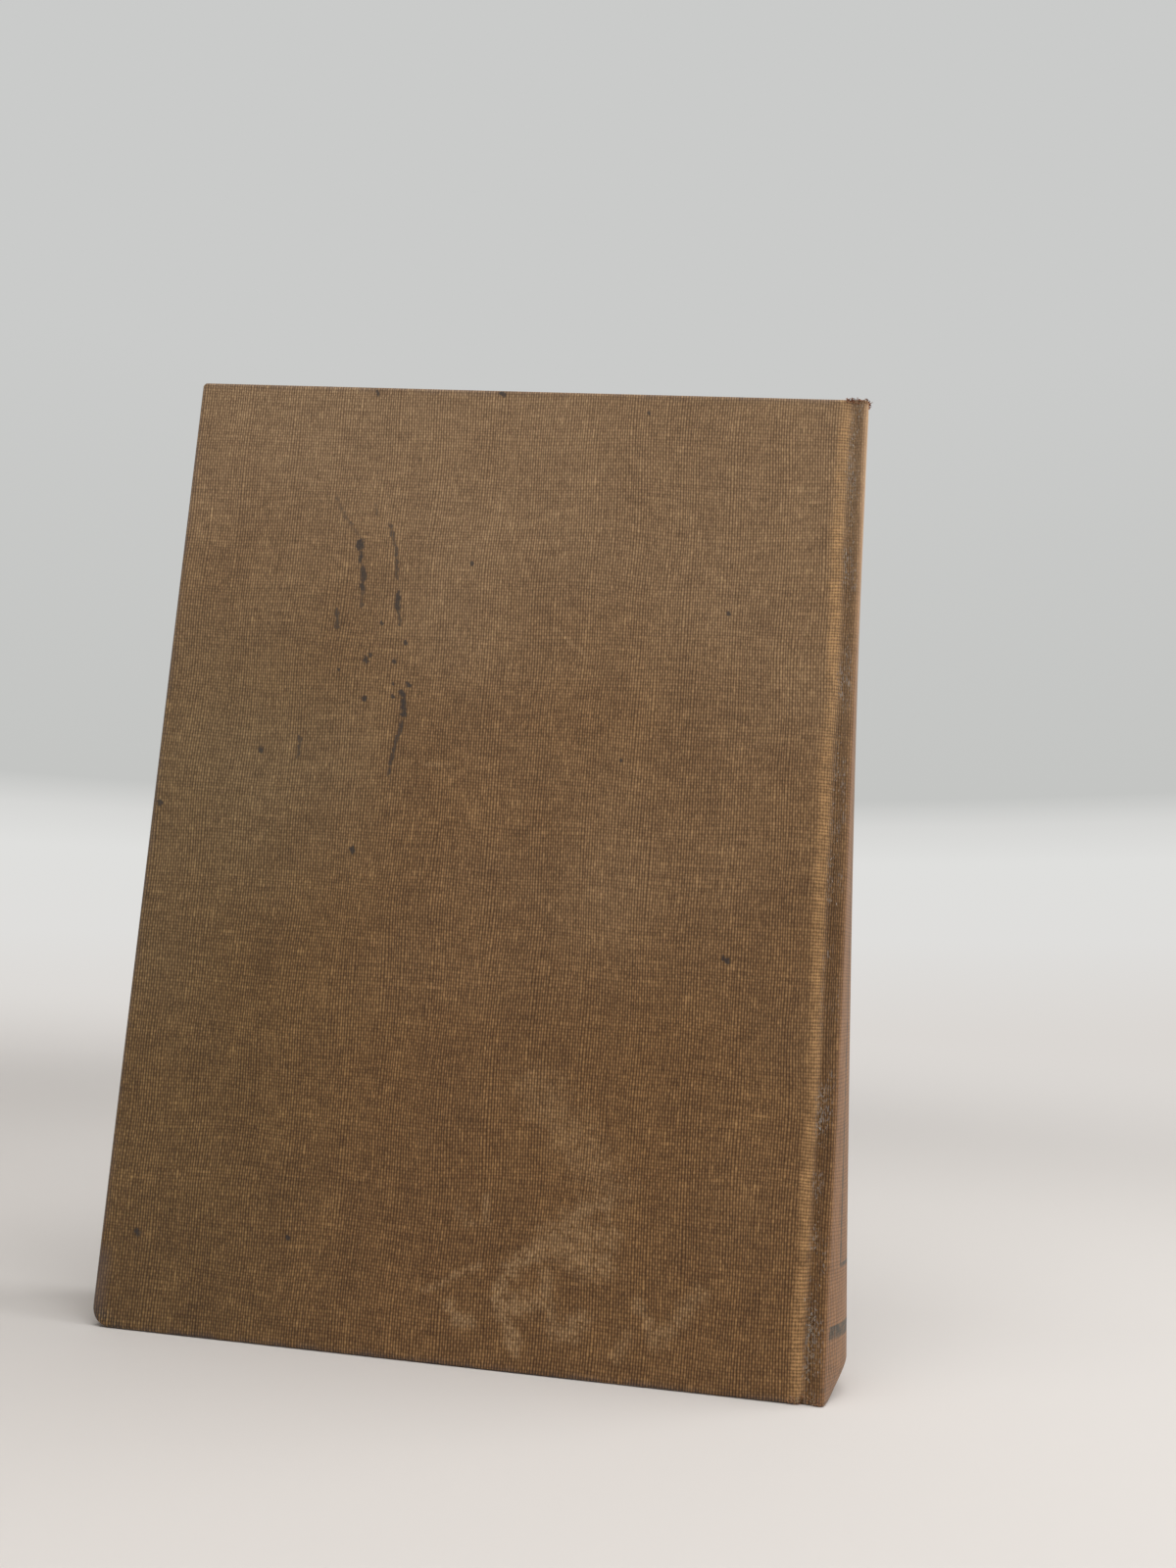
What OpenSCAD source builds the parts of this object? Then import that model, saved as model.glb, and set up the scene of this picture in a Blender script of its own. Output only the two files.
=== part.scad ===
// Case-bound hardback book, closed and standing on its tail.
// Millimetres. Z runs up the spine, +X points to the spine, the back cover is at -Y.
// The origin is the middle of the foot of the whole book.

/* [Covers] */
// Height of each cover, cloth included
cover_h = 203; // [190:1:216]
// Width of each cover from its fore-edge to the wall of the joint, cloth included
cover_w = 143.4; // [130:0.2:156]
// Thickness of the cover board
board_t = 2.6; // [2.2:0.1:3.2]
// Thickness of the book cloth
cloth_t = 0.4; // [0.3:0.05:0.45]
// Width of the cloth folded over onto the inside of a board
turn_in = 15; // [10:1:20]
// Rounding of the covered edges at head, tail and fore-edge
edge_r = 0.8; // [0.6:0.1:1.2]
// Rounding of the fore-edge corners
corner_r = 1; // [0.8:0.1:3]
// Rounding of the bumped corner, the back cover's lower one
bumped_corner_r = 4; // [1:0.5:8]

/* [Pages] */
// Thickness of the pressed pages
block_t = 20; // [14:0.5:40]
// How far the covers stand out past the pages
square_w = 3.2; // [2:0.2:5]
// Thickness of an endpaper
paper_t = 0.2; // [0.15:0.05:0.25]
// Radius of the bead of the head and tail bands
band_r = 0.9; // [0.6:0.1:1.2]

/* [Spine and joints] */
// Width of the joint groove between a board and the shoulder
groove_w = 2.4; // [2:0.1:3.6]
// How far the spine stands out past the joint groove
spine_bulge = 4.9; // [4.4:0.1:8]
// Rounding of the cloth over the board's edge at the joint
ridge_r = 1.2; // [0.9:0.1:1.4]
// Rounding of the cloth over the shoulder
shoulder_r = 1; // [0.8:0.05:1.2]
// How far the shoulder lies below the face of the covers
shoulder_low = 0.1; // [0:0.05:0.4]
// Thickness of the card strip inside the spine cloth
inlay_t = 0.4; // [0.3:0.05:0.6]
// Thickness of the paper glued along the back of the pages
lining_t = 0.2; // [0.15:0.05:0.4]
// Thickness of the gauze that holds the pages to the covers
gauze_t = 0.15; // [0.1:0.05:0.2]
// Width of the gauze glued to each board
gauze_flap_w = 25; // [15:1:35]
// How far the gauze stops short of the head and the tail
gauze_short = 18; // [16:1:30]
// Gap of the hollow back between the turned-in cloth and the lining
hollow = 0.3; // [0.2:0.05:0.6]

/* [Fit] */
// Gap between a closed cover and the pages, and between cloth ends in the joint
clearance = 0.3; // [0.3:0.05:0.6]

/* [Hidden] */

cloth_colour = [0.45, 0.34, 0.24];
board_colour = [0.60, 0.53, 0.42];
paper_colour = [0.87, 0.80, 0.66];
gauze_colour = [0.80, 0.76, 0.66];
band_colour = [0.62, 0.28, 0.22];

arc_fn = 96;     // small rounds
spine_fn = 360;  // the long arcs across the spine
eps = 0.01;      // lets joined shapes run into each other
over = 1;        // how far a cut runs out of what it cuts
far = 400;       // longer than the book, for cuts that run right through it

// Layers from the pages out to the face of a cover
half_block = block_t / 2;
paste_y = half_block + paper_t + clearance;        // inner face of a pastedown
inner_cloth_y = paste_y + paper_t;                 // inner face of the turn-ins
board_y = inner_cloth_y + cloth_t;                 // inner face of a board
half_t = board_y + board_t + cloth_t;              // outer face of a cover

// Stations across the book, from the fore-edge to the back of the spine
total_w = cover_w + groove_w + spine_bulge;
fore_x = -total_w / 2;
ridge_x = fore_x + cover_w;
groove_x = ridge_x + groove_w / 2;
shoulder_x = ridge_x + groove_w;
spine_x = total_w / 2;

// The joint groove is a round trough in the cloth. Its floor lies on the gauze over the endpaper.
trough_r = groove_w / 2;
trough_y = half_block + paper_t + gauze_t + cloth_t + trough_r;
cover_cloth_end = 225;                              // angle round the trough where the cover's cloth stops
end_gap = 2 * asin(clearance / 2 / trough_r);       // the same clearance, as an angle
spine_cloth_end = cover_cloth_end + end_gap;

// The shoulder is a small round on each side, and the spine is one arc that runs into both.
// For a given bulge the arc's radius follows, because it has to touch both rounds.
shoulder_y = half_t - shoulder_low - shoulder_r;
round_x = shoulder_x + shoulder_r;
function back_radius(bulge, tip_r) = (pow(shoulder_y, 2) / (bulge - 2 * tip_r) + bulge) / 2;
spine_r = back_radius(spine_bulge, shoulder_r);
spine_cx = spine_x - spine_r;

// The backed pages have the same two shoulders, one cloth and one gauze further in.
skin_t = cloth_t + gauze_t;
tip_r = shoulder_r - skin_t;
back_stack = 2 * cloth_t + inlay_t + hollow + lining_t + gauze_t;
block_x = spine_x - back_stack;
block_r = back_radius(block_x - shoulder_x - skin_t, tip_r);
block_cx = block_x - block_r;
fillet_r = trough_r + skin_t;
fillet_y = half_block + fillet_r;
block_side_x = shoulder_x + skin_t;

// Leaves are all one width, so the fore-edge repeats the hollow of the back.
block_fore_x = fore_x + square_w;
leaf_w = block_cx + sqrt(pow(block_r, 2) - pow(half_block, 2)) - block_fore_x;
block_foot = square_w;
block_head = cover_h - square_w;

turned_t = 2 * cloth_t + inlay_t;                   // the cloth folded round the card strip

// The back of the pages is flatter than the cloth over it, so the hollow narrows towards the
// shoulders. The card strip ends where its turned-in cloth would begin to press on the pages.
press_gap = 0.1;
narrowing = 1 / spine_r - 1 / block_r;
inlay_half = sqrt(2 * (back_stack - turned_t - press_gap) / narrowing);

// Shared shapes

// What a square corner loses when it is rounded: corner at (0, 0), the solid towards +X and +Y
module corner_loss(r) {
    difference() {
        translate([-eps, -eps]) square(r + eps);
        translate([r, r]) circle(r, $fn = arc_fn);
    }
}

// A wedge from (cx, 0) that opens towards +X, half_angle to each side
module wedge(cx, half_angle, len) {
    polygon([[cx, 0], [cx + len, -len * tan(half_angle)], [cx + len, len * tan(half_angle)]]);
}

// A flat ring about (cx, cy) between angles from and to, less than half a turn apart
module ring_part(cx, cy, inner_r, outer_r, from, to) {
    reach = 4 * outer_r;
    mid = (from + to) / 2;
    translate([cx, cy]) intersection() {
        difference() {
            circle(outer_r, $fn = arc_fn);
            circle(inner_r, $fn = arc_fn);
        }
        polygon([
            [0, 0], [reach * cos(from), reach * sin(from)],
            [reach * cos(mid), reach * sin(mid)], [reach * cos(to), reach * sin(to)]
        ]);
    }
}

// The filled form of the back: one long arc of radius r about (cx, 0), round shoulders of radius r_tip
module back_form(cx, r, r_tip) {
    intersection() {
        translate([cx, 0]) circle(r, $fn = spine_fn);
        wedge(cx, asin(shoulder_y / (r - r_tip)), 2 * r);
        translate([round_x - r_tip / 2, -far / 2]) square([far, far]);
    }
    for (side = [-1, 1]) translate([round_x, side * shoulder_y]) circle(r_tip, $fn = arc_fn);
    translate([round_x - r_tip, -shoulder_y]) square([1.5 * r_tip, 2 * shoulder_y]);
}

// The band between two forms of the back that share a centre, open towards the pages
module back_band(cx, r, r_tip, t) {
    difference() {
        back_form(cx, r, r_tip);
        back_form(cx, r - t, r_tip - t);
        translate([round_x - r_tip - eps, -trough_y]) square([r_tip + eps, 2 * trough_y]);
    }
}

// A strip of an arc across the spine, half_w to each side of the middle
module arc_strip(cx, inner_r, outer_r, half_w) {
    intersection() {
        translate([cx, 0]) difference() {
            circle(outer_r, $fn = spine_fn);
            circle(inner_r, $fn = spine_fn);
        }
        translate([cx, -half_w]) square([2 * outer_r, 2 * half_w]);
    }
}

module both_sides() {
    children();
    mirror([0, 1, 0]) children();
}

// The pages and what is glued to their back

module block_section() {
    half_outline = [
        [block_fore_x, half_block], [groove_x, half_block], [groove_x, fillet_y],
        [block_side_x, fillet_y], [block_side_x, shoulder_y], [spine_x, shoulder_y]
    ];
    difference() {
        polygon(concat(half_outline, [for (i = [len(half_outline) - 1:-1:0])
            [half_outline[i][0], -half_outline[i][1]]]));
        both_sides() translate([groove_x, fillet_y]) circle(fillet_r, $fn = arc_fn);
        // the round back
        difference() {
            translate([round_x, -half_t]) square([total_w, 2 * half_t]);
            translate([block_cx, 0]) circle(block_r, $fn = spine_fn);
        }
        // the hollow fore-edge
        translate([block_cx - leaf_w, 0]) intersection() {
            circle(block_r, $fn = spine_fn);
            translate([0, -half_t]) square([total_w, 2 * half_t]);
        }
    }
}

module text_block() {
    color(paper_colour) translate([0, 0, block_foot])
        linear_extrude(block_head - block_foot) block_section();
}

module spine_gauze() {
    color(gauze_colour) translate([0, 0, gauze_short]) linear_extrude(cover_h - 2 * gauze_short) {
        back_band(block_cx, block_r + gauze_t, tip_r + gauze_t, gauze_t);
        both_sides() ring_part(groove_x, trough_y, trough_r + cloth_t, fillet_r, 270, 360);
    }
}

module spine_lining() {
    color(paper_colour) translate([0, 0, gauze_short]) linear_extrude(cover_h - 2 * gauze_short)
        arc_strip(block_cx, block_r + gauze_t, block_r + gauze_t + lining_t, half_block);
}

// A bead of thread with a flat seat on the edge of the pages
module end_band() {
    swing = asin((half_block - band_r) / (block_r - band_r));
    color(band_colour) translate([block_cx, 0, 0]) rotate([0, 0, -swing])
        rotate_extrude(angle = 2 * swing, $fn = spine_fn)
            intersection() {
                translate([block_r - band_r, band_r / 2]) circle(band_r, $fn = arc_fn);
                translate([block_r - 2 * band_r, 0]) square([2 * band_r, 2 * band_r]);
            }
}

module head_band() {
    translate([0, 0, block_head]) end_band();
}

module tail_band() {
    translate([0, 0, block_foot]) mirror([0, 0, 1]) end_band();
}

module spine_inlay() {
    color(board_colour) translate([0, 0, cloth_t]) linear_extrude(cover_h - 2 * cloth_t)
        arc_strip(spine_cx, spine_r - cloth_t - inlay_t, spine_r - cloth_t, inlay_half);
}

// The cloth turned over the tail end of the card strip, run into the cloth of the spine
module spine_turn_in() {
    difference() {
        linear_extrude(turn_in)
            arc_strip(spine_cx, spine_r - turned_t, spine_r - cloth_t / 2, inlay_half);
        translate([0, 0, cloth_t]) linear_extrude(turn_in)
            arc_strip(spine_cx, spine_r - cloth_t - inlay_t, spine_r, half_t);
    }
}

module spine_cloth() {
    color(cloth_colour) {
        linear_extrude(cover_h) {
            back_band(spine_cx, spine_r, shoulder_r, cloth_t);
            both_sides() {
                ring_part(groove_x, trough_y, trough_r, trough_r + cloth_t, spine_cloth_end, 360);
            }
        }
        spine_turn_in();
        translate([0, 0, cover_h]) mirror([0, 0, 1]) spine_turn_in();
    }
}

module free_endpaper() {
    color(paper_colour) translate([block_fore_x, half_block, block_foot])
        cube([groove_x - block_fore_x, paper_t, block_head - block_foot]);
}

// The covers, drawn for the front one

// The covered board cut across, depth inside the face of the cloth
module cover_section(depth, inner_y) {
    r_edge = max(edge_r - depth, 0.2);
    r_ridge = ridge_r - depth;
    difference() {
        translate([fore_x + depth, inner_y])
            square([cover_w - 2 * depth, half_t - depth - inner_y]);
        translate([fore_x + depth, inner_y]) corner_loss(r_edge);
        translate([fore_x + depth, half_t - depth]) mirror([0, 1]) corner_loss(r_edge);
        translate([ridge_x - depth, half_t - depth]) rotate(180) corner_loss(r_ridge);
    }
}

// The same cut along the height: X here is the thickness, Y the height
module cover_side(depth, inner_y) {
    r_edge = max(edge_r - depth, 0.2);
    difference() {
        translate([inner_y, depth]) square([half_t - depth - inner_y, cover_h - 2 * depth]);
        for (end = [0, 1]) translate([0, end * cover_h]) mirror([0, end]) translate([0, depth]) {
            translate([inner_y, 0]) corner_loss(r_edge);
            translate([half_t - depth, 0]) mirror([1, 0]) corner_loss(r_edge);
        }
    }
}

// The face of the cover: X across, Y up, with its two fore-edge corners rounded
module cover_face(depth, lower_r) {
    difference() {
        translate([fore_x + depth, depth]) square([cover_w + groove_w, cover_h - 2 * depth]);
        translate([fore_x + depth, depth]) corner_loss(lower_r - depth);
        translate([fore_x + depth, cover_h - depth]) mirror([0, 1]) corner_loss(corner_r - depth);
    }
}

module cover_solid(depth, inner_y, lower_r) {
    intersection() {
        linear_extrude(cover_h) cover_section(depth, inner_y);
        translate([fore_x, 0, 0]) rotate([90, 0, 90]) linear_extrude(cover_w) cover_side(depth, inner_y);
        translate([0, half_t + over, 0]) rotate([90, 0, 0]) linear_extrude(half_t)
            cover_face(depth, lower_r);
    }
}

module cover_board(lower_r) {
    color(board_colour) cover_solid(cloth_t, board_y, lower_r);
}

// All that lies past the board on its joint side, up to height top_y
module past_board(top_y) {
    translate([ridge_x - cloth_t, 0, -over]) cube([groove_w, top_y, cover_h + 2 * over]);
}

// The window that the turn-ins leave on the inside of a board, made smaller by inset.
// It runs out past the board on the joint side, where there is no turn-in.
module window(from_y, to_y, inset) {
    translate([fore_x + turn_in + inset, from_y, turn_in + inset])
        cube([cover_w - turn_in - inset, to_y - from_y, cover_h - 2 * (turn_in + inset)]);
}

module cover_cloth(lower_r) {
    color(cloth_colour) {
        difference() {
            cover_solid(0, inner_cloth_y, lower_r);
            cover_solid(cloth_t, board_y, lower_r);
            window(inner_cloth_y - over, board_y + eps, 0);
            // the joint side of the board has no turned-in cloth below the trough's wall
            past_board(trough_y);
        }
        linear_extrude(cover_h)
            ring_part(groove_x, trough_y, trough_r, trough_r + cloth_t, 180, cover_cloth_end);
    }
}

// The flap of gauze glued to the board under the pastedown, made larger by grow.
// It runs out past the board on the joint side, as the window does.
module gauze_form(grow, from_y, to_y) {
    translate([ridge_x - cloth_t - gauze_flap_w - grow, from_y, gauze_short - grow])
        cube([gauze_flap_w + grow + cloth_t, to_y - from_y, cover_h - 2 * (gauze_short - grow)]);
}

// One sheet pressed down over the turn-ins, the board and the gauze, so it steps with them
module pastedown() {
    gauze_y = board_y - gauze_t;
    color(paper_colour) difference() {
        union() {
            difference() {
                union() {
                    translate([fore_x + square_w, paste_y, square_w])
                        cube([cover_w - square_w, paper_t, cover_h - 2 * square_w]);
                    window(paste_y + eps, board_y, 0);
                }
                window(paste_y - over, board_y - paper_t, paper_t);
            }
            gauze_form(paper_t, gauze_y - paper_t, board_y - eps);
        }
        gauze_form(0, gauze_y, board_y + over);
        past_board(half_t);
    }
}

module gauze_flap() {
    color(gauze_colour) difference() {
        gauze_form(0, board_y - gauze_t, board_y);
        past_board(half_t);
    }
}

module front() {
    children();
}

module back() {
    mirror([0, 1, 0]) children();
}

text_block();
spine_gauze();
spine_lining();
head_band();
tail_band();
spine_inlay();
spine_cloth();
front() free_endpaper();  // front_free_endpaper
back() free_endpaper();  // back_free_endpaper
front() cover_board(corner_r);  // front_board
front() cover_cloth(corner_r);  // front_cloth
front() pastedown();  // front_pastedown
front() gauze_flap();  // front_gauze_flap
back() cover_board(bumped_corner_r);  // back_board
back() cover_cloth(bumped_corner_r);  // back_cloth
back() pastedown();  // back_pastedown
back() gauze_flap();  // back_gauze_flap
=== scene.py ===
"""Looks of a worn case-bound hardback book in brown plain-weave cloth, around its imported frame."""

import math

import bmesh
import bpy
import numpy as np
from mathutils import Matrix, Vector


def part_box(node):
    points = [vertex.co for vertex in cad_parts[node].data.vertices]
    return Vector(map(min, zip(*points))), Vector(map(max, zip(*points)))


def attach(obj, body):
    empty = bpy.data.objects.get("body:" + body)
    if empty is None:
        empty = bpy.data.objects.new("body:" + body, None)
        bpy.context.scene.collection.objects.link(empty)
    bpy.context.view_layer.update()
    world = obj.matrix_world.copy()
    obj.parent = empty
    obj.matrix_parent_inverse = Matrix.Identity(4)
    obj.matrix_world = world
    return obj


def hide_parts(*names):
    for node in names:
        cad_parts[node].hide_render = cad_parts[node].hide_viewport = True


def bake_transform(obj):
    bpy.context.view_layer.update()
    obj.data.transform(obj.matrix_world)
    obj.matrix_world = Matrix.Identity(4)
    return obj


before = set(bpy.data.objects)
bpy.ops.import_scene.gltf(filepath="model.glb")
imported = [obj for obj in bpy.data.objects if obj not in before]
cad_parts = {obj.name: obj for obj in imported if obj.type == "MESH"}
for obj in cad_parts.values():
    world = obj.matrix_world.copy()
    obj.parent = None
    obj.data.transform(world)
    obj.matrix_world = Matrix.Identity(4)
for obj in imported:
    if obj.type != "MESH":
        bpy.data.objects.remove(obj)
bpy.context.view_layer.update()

MM = 0.001

# Camera, in the row frame
CAMERA_PLACE = (0.04835, -0.2795, 0.08158)
CAMERA_FORWARD = (-0.11191, 0.98481, 0.13277)
CAMERA_UP = (-0.05954, -0.14002, 0.98836)
CAMERA_LENS = 29.807
SENSOR_LONG_SIDE = 36.0


def add_object(name, data):
    made = bpy.data.objects.new(name, data)
    bpy.context.scene.collection.objects.link(made)
    return made


def make_camera():
    data = bpy.data.cameras.new("camera")
    data.lens = CAMERA_LENS
    data.sensor_width = SENSOR_LONG_SIDE
    data.clip_start = 0.01
    camera = add_object("camera", data)
    forward = Vector(CAMERA_FORWARD).normalized()
    right = forward.cross(Vector(CAMERA_UP)).normalized()
    up = right.cross(forward)
    turn = Matrix((right, up, -forward)).transposed()
    camera.matrix_world = Matrix.Translation(CAMERA_PLACE) @ turn.to_4x4()
    bpy.context.scene.camera = camera


make_camera()

# Sizes that the frame gives
COVER_LOW, COVER_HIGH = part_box("front_cloth")
BOARD_LOW, BOARD_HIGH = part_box("front_board")
_, SPINE_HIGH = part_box("spine_cloth")
LEAF_LOW, LEAF_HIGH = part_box("front_free_endpaper")
PASTE_LOW, PASTE_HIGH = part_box("front_pastedown")
BLOCK_LOW, BLOCK_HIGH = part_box("text_block")
GAUZE_LOW, GAUZE_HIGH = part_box("front_gauze_flap")

HEIGHT = COVER_HIGH.z
FORE_X = COVER_LOW.x
FACE_Y = COVER_HIGH.y
INNER_Y = COVER_LOW.y
CLOTH = BOARD_LOW.x - COVER_LOW.x
BOARD_X = BOARD_HIGH.x
RIDGE_X = BOARD_X + CLOTH
GROOVE_X = LEAF_HIGH.x
TROUGH_R = GROOVE_X - RIDGE_X
SHOULDER_X = GROOVE_X + TROUGH_R
HALF_BLOCK = LEAF_LOW.y
GAUZE = GAUZE_HIGH.y - GAUZE_LOW.y
SPINE_X = SPINE_HIGH.x
BLOCK_FOOT = BLOCK_LOW.z
BLOCK_HEAD = BLOCK_HIGH.z

# Rounds and folds of the cloth
EDGE_R = 0.8 * MM
SHOULDER_R = 1.0 * MM
CORNER_R = 1.0 * MM
BUMPED_R = 4.0 * MM
TURN_IN = 15 * MM
TURNED_T = 1.2 * MM
FOLD_T = 0.6 * MM
FOLD_DEPTH = 2.8 * MM
INLAY_HALF = 9.1 * MM
STEP = 0.8 * MM
NEAR = 1e-9

SHOULDER_Y = SPINE_HIGH.y - SHOULDER_R
ROUND_X = SHOULDER_X + SHOULDER_R


def back_radius(bulge, tip_r):
    """Radius of the long arc that touches a round of radius tip_r at each shoulder."""
    return (SHOULDER_Y**2 / (bulge - 2 * tip_r) + bulge) / 2


SPINE_R = back_radius(SPINE_X - SHOULDER_X, SHOULDER_R)
SPINE_CX = SPINE_X - SPINE_R
CELLS = 512


def noise_2d(x, z, cell, seed):
    """Smooth noise from -1 to 1 over a plane, with features about one cell wide."""
    u = np.asarray(x) / cell + 100.0
    v = np.asarray(z) / cell + 100.0
    values = np.random.default_rng(seed).uniform(-1, 1, (CELLS, CELLS))
    i, j = np.floor(u).astype(int), np.floor(v).astype(int)
    fu, fv = u - i, v - j
    fu, fv = fu * fu * (3 - 2 * fu), fv * fv * (3 - 2 * fv)
    i, j = i % CELLS, j % CELLS
    i2, j2 = (i + 1) % CELLS, (j + 1) % CELLS
    low = values[i, j] * (1 - fu) + values[i2, j] * fu
    high = values[i, j2] * (1 - fu) + values[i2, j2] * fu
    return low * (1 - fv) + high * fv


def smooth(x, low, high):
    t = np.clip((np.asarray(x, float) - low) / (high - low), 0, 1)
    return t * t * (3 - 2 * t)


def from_bmesh(name, mesh):
    """A new piece made of a finished bmesh, which is freed."""
    data = bpy.data.meshes.new(name)
    mesh.to_mesh(data)
    mesh.free()
    return add_object(name, data)


def add_values(data, name, values):
    layer = data.attributes.new(name, "FLOAT", "POINT")
    layer.data.foreach_set("value", np.clip(values, 0, 1).astype(np.float32))


# How age has changed the spine: narrower towards the head, pushed out at the tail, its ends curled in
TAIL_SWELL = 2.5 * MM
SWELL_POWER = 2.8
HEAD_PRESS = 2.36 * MM
HEAD_NARROW = 0.63 * MM
TAIL_CURL = 3.2 * MM
TAIL_CURL_H = 6.5 * MM
HEAD_CURL = 1.7 * MM
HEAD_CURL_H = 3.4 * MM
CURL_POWER = 1.3
SHIFT_RUN = 2.2 * MM

# The joint's valley, in millimetres from its middle: across, and below the face of the cover
JOINT_PATH = (
    (-2.40, 0.00), (-1.75, 0.12), (-1.15, 0.55), (-0.55, 1.15), (0.0, 1.40), (0.6, 1.15), (1.2, 0.62),
    (1.9, 0.30), (2.5, 0.34), (2.85, 0.50), (3.10, 0.67),
)
JOINT_START = GROOVE_X + JOINT_PATH[0][0] * MM
JOINT_FILL = 0.25
JOINT_FILL_HEAD = 0.32
JOINT_FILL_ENDS = 0.30
JOINT_FILL_H = 5 * MM
FILL_END_X = GROOVE_X + 1.9 * MM
CHORD_RUN = 4.3 * MM
CHORD_DROP = 0.3 * MM
PINCH_X = BOARD_X + 0.4 * MM
PINCH_HALF = 0.45 * MM
PINCH_DEPTH = 1.0 * MM
PINCH_FULL = 0.3 * MM
PINCH_TOP = 2.4 * MM


def spine_shift(x, y, z):
    """How far a point of the spine has moved along X. Nothing moves at or before the middle of the joint."""
    across = np.clip(1 - (y / SHOULDER_Y) ** 2, 0, 1)
    along = np.clip(z / HEIGHT, 0, 1)
    swell = TAIL_SWELL * (1 - along) ** SWELL_POWER - HEAD_PRESS * along
    curl = TAIL_CURL * np.clip(1 - z / TAIL_CURL_H, 0, 1) ** CURL_POWER
    curl = curl + HEAD_CURL * np.clip(1 - (HEIGHT - z) / HEAD_CURL_H, 0, 1) ** CURL_POWER
    narrow = -HEAD_NARROW * smooth(along, 0.2, 0.8)
    return (narrow + (swell - curl) * across) * smooth(x, GROOVE_X, GROOVE_X + SHIFT_RUN)


def joint_fill(x, y, z):
    """How far the joint's valley has come out along Y: most at the head, and pinched in at the very tail."""
    share = JOINT_FILL + JOINT_FILL_HEAD * smooth(z / HEIGHT, 0.3, 0.8)
    share = share + JOINT_FILL_ENDS * smooth(-np.minimum(z, HEIGHT - z), -JOINT_FILL_H, -1 * MM)
    chord = FACE_Y - CHORD_DROP * smooth(x, JOINT_START, JOINT_START + CHORD_RUN)
    inside = (x > JOINT_START) & (x < FILL_END_X)
    pinch = PINCH_DEPTH * np.exp(-(((x - PINCH_X) / PINCH_HALF) ** 2)) * smooth(-z, -PINCH_TOP, -PINCH_FULL)
    return np.where(inside, np.clip(chord - y, 0, 1) * share - pinch, 0)


def through(points, per_span):
    """A smooth curve through the given points."""
    p = np.array([points[0], *points, points[-1]], float)
    t = np.arange(per_span)[:, None] / per_span
    curve = []
    for a, b, c, d in zip(p, p[1:], p[2:], p[3:]):
        bend = (2 * a - 5 * b + 4 * c - d) * t**2 + (3 * b - a - 3 * c + d) * t**3
        curve.append(b + ((c - a) * t + bend) / 2)
    return np.concatenate([*curve, p[-1:]])


def lay_path():
    """The outer line of the case's cloth across the front half: points, the points behind them, arc length."""
    points, behind = [], []

    def add(p, q):
        if not points or math.dist(points[-1], p) > 1e-7:
            points.append(p)
            behind.append(q)

    for k in (0, 0.25, 0.5, 0.75, 1):
        x = FORE_X + EDGE_R + k * (CORNER_R - EDGE_R)
        add((x, FACE_Y), (x, INNER_Y))
    start = FORE_X + CORNER_R
    count = round((JOINT_START - start) / STEP)
    for k in range(count):
        x = start + (JOINT_START - start) * k / count
        add((x, FACE_Y), (x, INNER_Y))
    joint = [(GROOVE_X + dx * MM, FACE_Y - dy * MM) for dx, dy in JOINT_PATH]
    curve = through(joint, 3)
    for (x, y), (dx, dy) in zip(curve, np.gradient(curve, axis=0)):
        turn = float(smooth(x, BOARD_X, BOARD_X + 1 * MM))
        way = Vector((turn * dy, -turn * dx - (1 - turn) * math.hypot(dx, dy))).normalized()
        t = FOLD_T + (FACE_Y - INNER_Y - FOLD_T) * (1 - turn)
        add((float(x), float(y)), (float(x) + way.x * t, float(y) + way.y * t))
    meet = math.asin(joint[-1][1] / SPINE_R)
    count = round(SPINE_R * meet / STEP)
    angles = [meet * (1 - k / count) for k in range(1, count)]
    for a in angles + [0.05 * MM / SPINE_R, 0.0]:
        c, s = math.cos(a), math.sin(a)
        y = SPINE_R * s
        t = FOLD_T + (TURNED_T - FOLD_T) * float(smooth(INLAY_HALF + 1.5 * MM - y, 0, 1.5 * MM))
        add((SPINE_CX + SPINE_R * c, y), (SPINE_CX + (SPINE_R - t) * c, (SPINE_R - t) * s))
    points, behind = np.array(points), np.array(behind)
    length = np.concatenate([[0], np.cumsum(np.linalg.norm(np.diff(points, axis=0), axis=1))])
    return points, behind, length - length[-1]


def round_corner(x, z, near, corner_x, corner_z, way_z, inset_r):
    """Squeezes the square block of the grid at a fore-edge corner into a quarter disc."""
    a = (corner_x - x) / inset_r
    b = (corner_z - z) * -way_z / inset_r
    inside = (a > 0) & (b > 0) & near
    most, least = np.maximum(a, b), np.minimum(a, b)
    angle = np.where(most > 0, least / np.maximum(most, 1e-12), 0) * math.pi / 4
    angle = np.where(b > a, math.pi / 2 - angle, angle)
    x = np.where(inside, corner_x - most * np.cos(angle) * inset_r, x)
    z = np.where(inside, corner_z + way_z * most * np.sin(angle) * inset_r, z)
    return x, z


def height_lines():
    """Heights of the rows of the grid, closer together where a small corner needs them."""
    near = [EDGE_R + k * (CORNER_R - EDGE_R) for k in (0, 0.25, 0.5, 0.75)]
    count = round((HEIGHT - 2 * CORNER_R) / STEP)
    middle = [CORNER_R + (HEIGHT - 2 * CORNER_R) * k / count for k in range(count + 1)]
    return np.array(near + middle + [HEIGHT - z for z in reversed(near)])


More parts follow.
